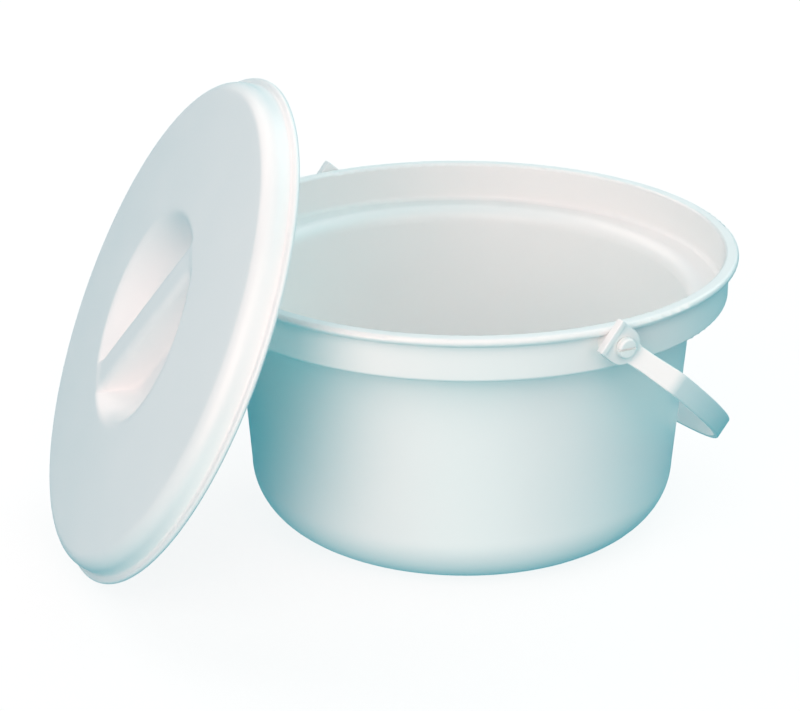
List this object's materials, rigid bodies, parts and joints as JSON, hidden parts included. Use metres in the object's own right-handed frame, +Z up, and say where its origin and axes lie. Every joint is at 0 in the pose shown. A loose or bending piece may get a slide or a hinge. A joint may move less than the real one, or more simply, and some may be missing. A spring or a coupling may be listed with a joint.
{
  "type": "commode pan",
  "caption": "Round moulded commode pan with a stepped rim, a swinging bail handle on two slotted screws, and a loose inset lid with a sunken grip.",
  "frame": {"origin": "centre of the pan's flat base, on the surface it stands on", "axes": "+Z up out of the pan's mouth; X along the line through the two bail pivots; the bail hangs towards +Y and the lid leans on the -Y side"},
  "size_m": [0.335, 0.3853, 0.2548],
  "materials": {
    "white_plastic": "satin white moulded polypropylene",
    "lid_plastic": "satin white moulded polypropylene",
    "handle_plastic": "satin white moulded plastic strap",
    "screw_plastic": "glossy white moulded nylon"
  },
  "bodies": {
    "pan_body": {"pan": "white_plastic", "pivot_screw_right": "screw_plastic", "pivot_screw_left": "screw_plastic"},
    "bail": {"bail_handle": "handle_plastic"},
    "loose_lid": {"lid": "lid_plastic"}
  },
  "joints": [
    {"name": "handle_swing", "type": "hinge", "parent": "pan_body", "child": "bail", "pos_m": [0, 0, 0.148], "axis": [1, 0, 0], "range_deg": [-2, 175]},
    {"name": "lid_lift", "type": "slide", "parent": "pan_body", "child": "loose_lid", "axis": [0, 0, 1], "range_m": [0, 0.3]}
  ]
}
